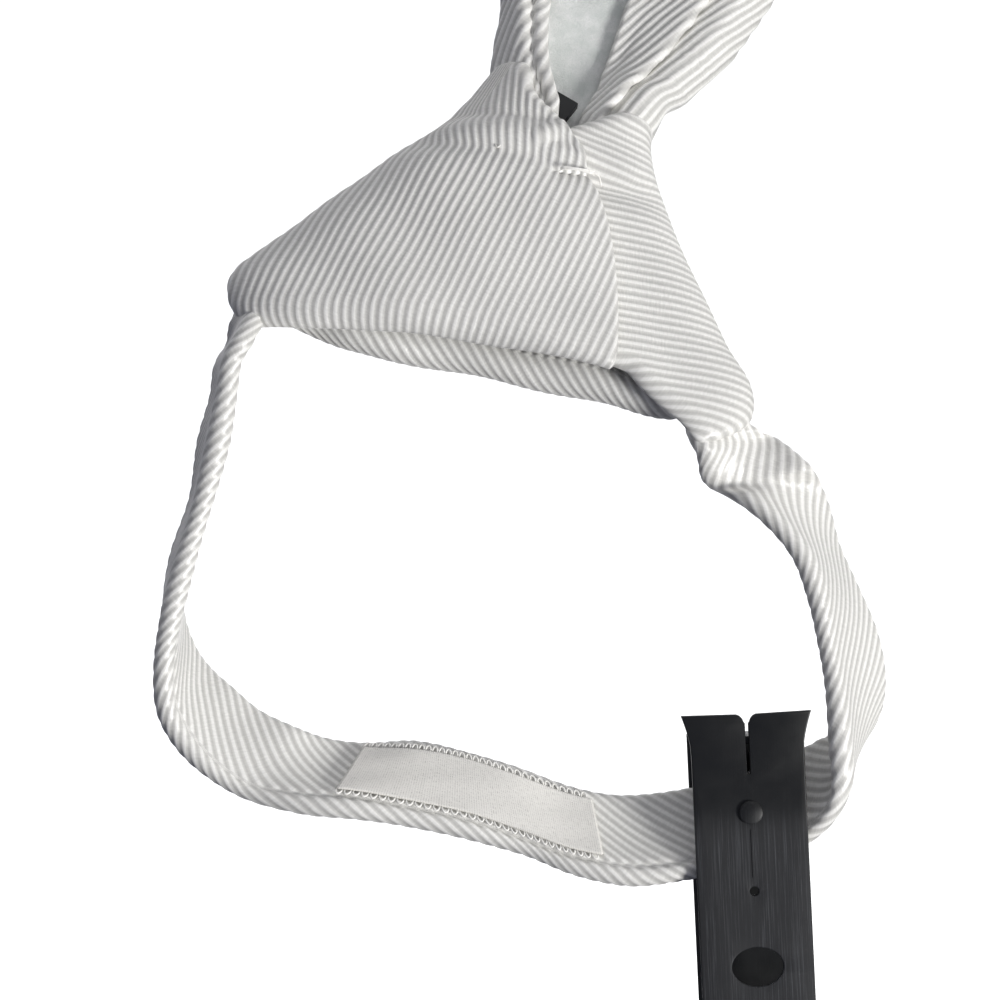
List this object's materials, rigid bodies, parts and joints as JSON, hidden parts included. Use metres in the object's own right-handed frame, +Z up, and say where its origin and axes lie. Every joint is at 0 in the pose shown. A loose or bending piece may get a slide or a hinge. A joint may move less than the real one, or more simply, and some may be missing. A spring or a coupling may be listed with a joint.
{
  "type": "zipper tie on a hanger strap",
  "caption": "White ribbed tie with a ready-made knot on a closed neck band, hanging by the band from a folded plastic strap that has a stud and a fish-tail end.",
  "frame": {"origin": "inside of the top of the hanger strap's fold, where a rail or hook carries it", "axes": "+Z up; the back of the knot and blade faces -Y; +X is to the right when the tie's back is seen"},
  "size_m": [0.124, 0.0374, 0.3815],
  "materials": {
    "tie_satin": "white ribbed satin, diagonal ribs about 1 mm apart",
    "label_satin": "white woven satin ribbon",
    "felt": "pale grey felt interlining",
    "black_plastic": "black moulded plastic with fine scratches"
  },
  "bodies": {
    "root": {"knot_wrap": "tie_satin", "knot_top_roll": "tie_satin", "knot_former": "black_plastic", "neck_band": "tie_satin", "band_label": "label_satin", "blade": "tie_satin", "blade_interlining": "felt", "hanger_strap": "black_plastic", "hanger_stud": "black_plastic"}
  },
  "joints": []
}
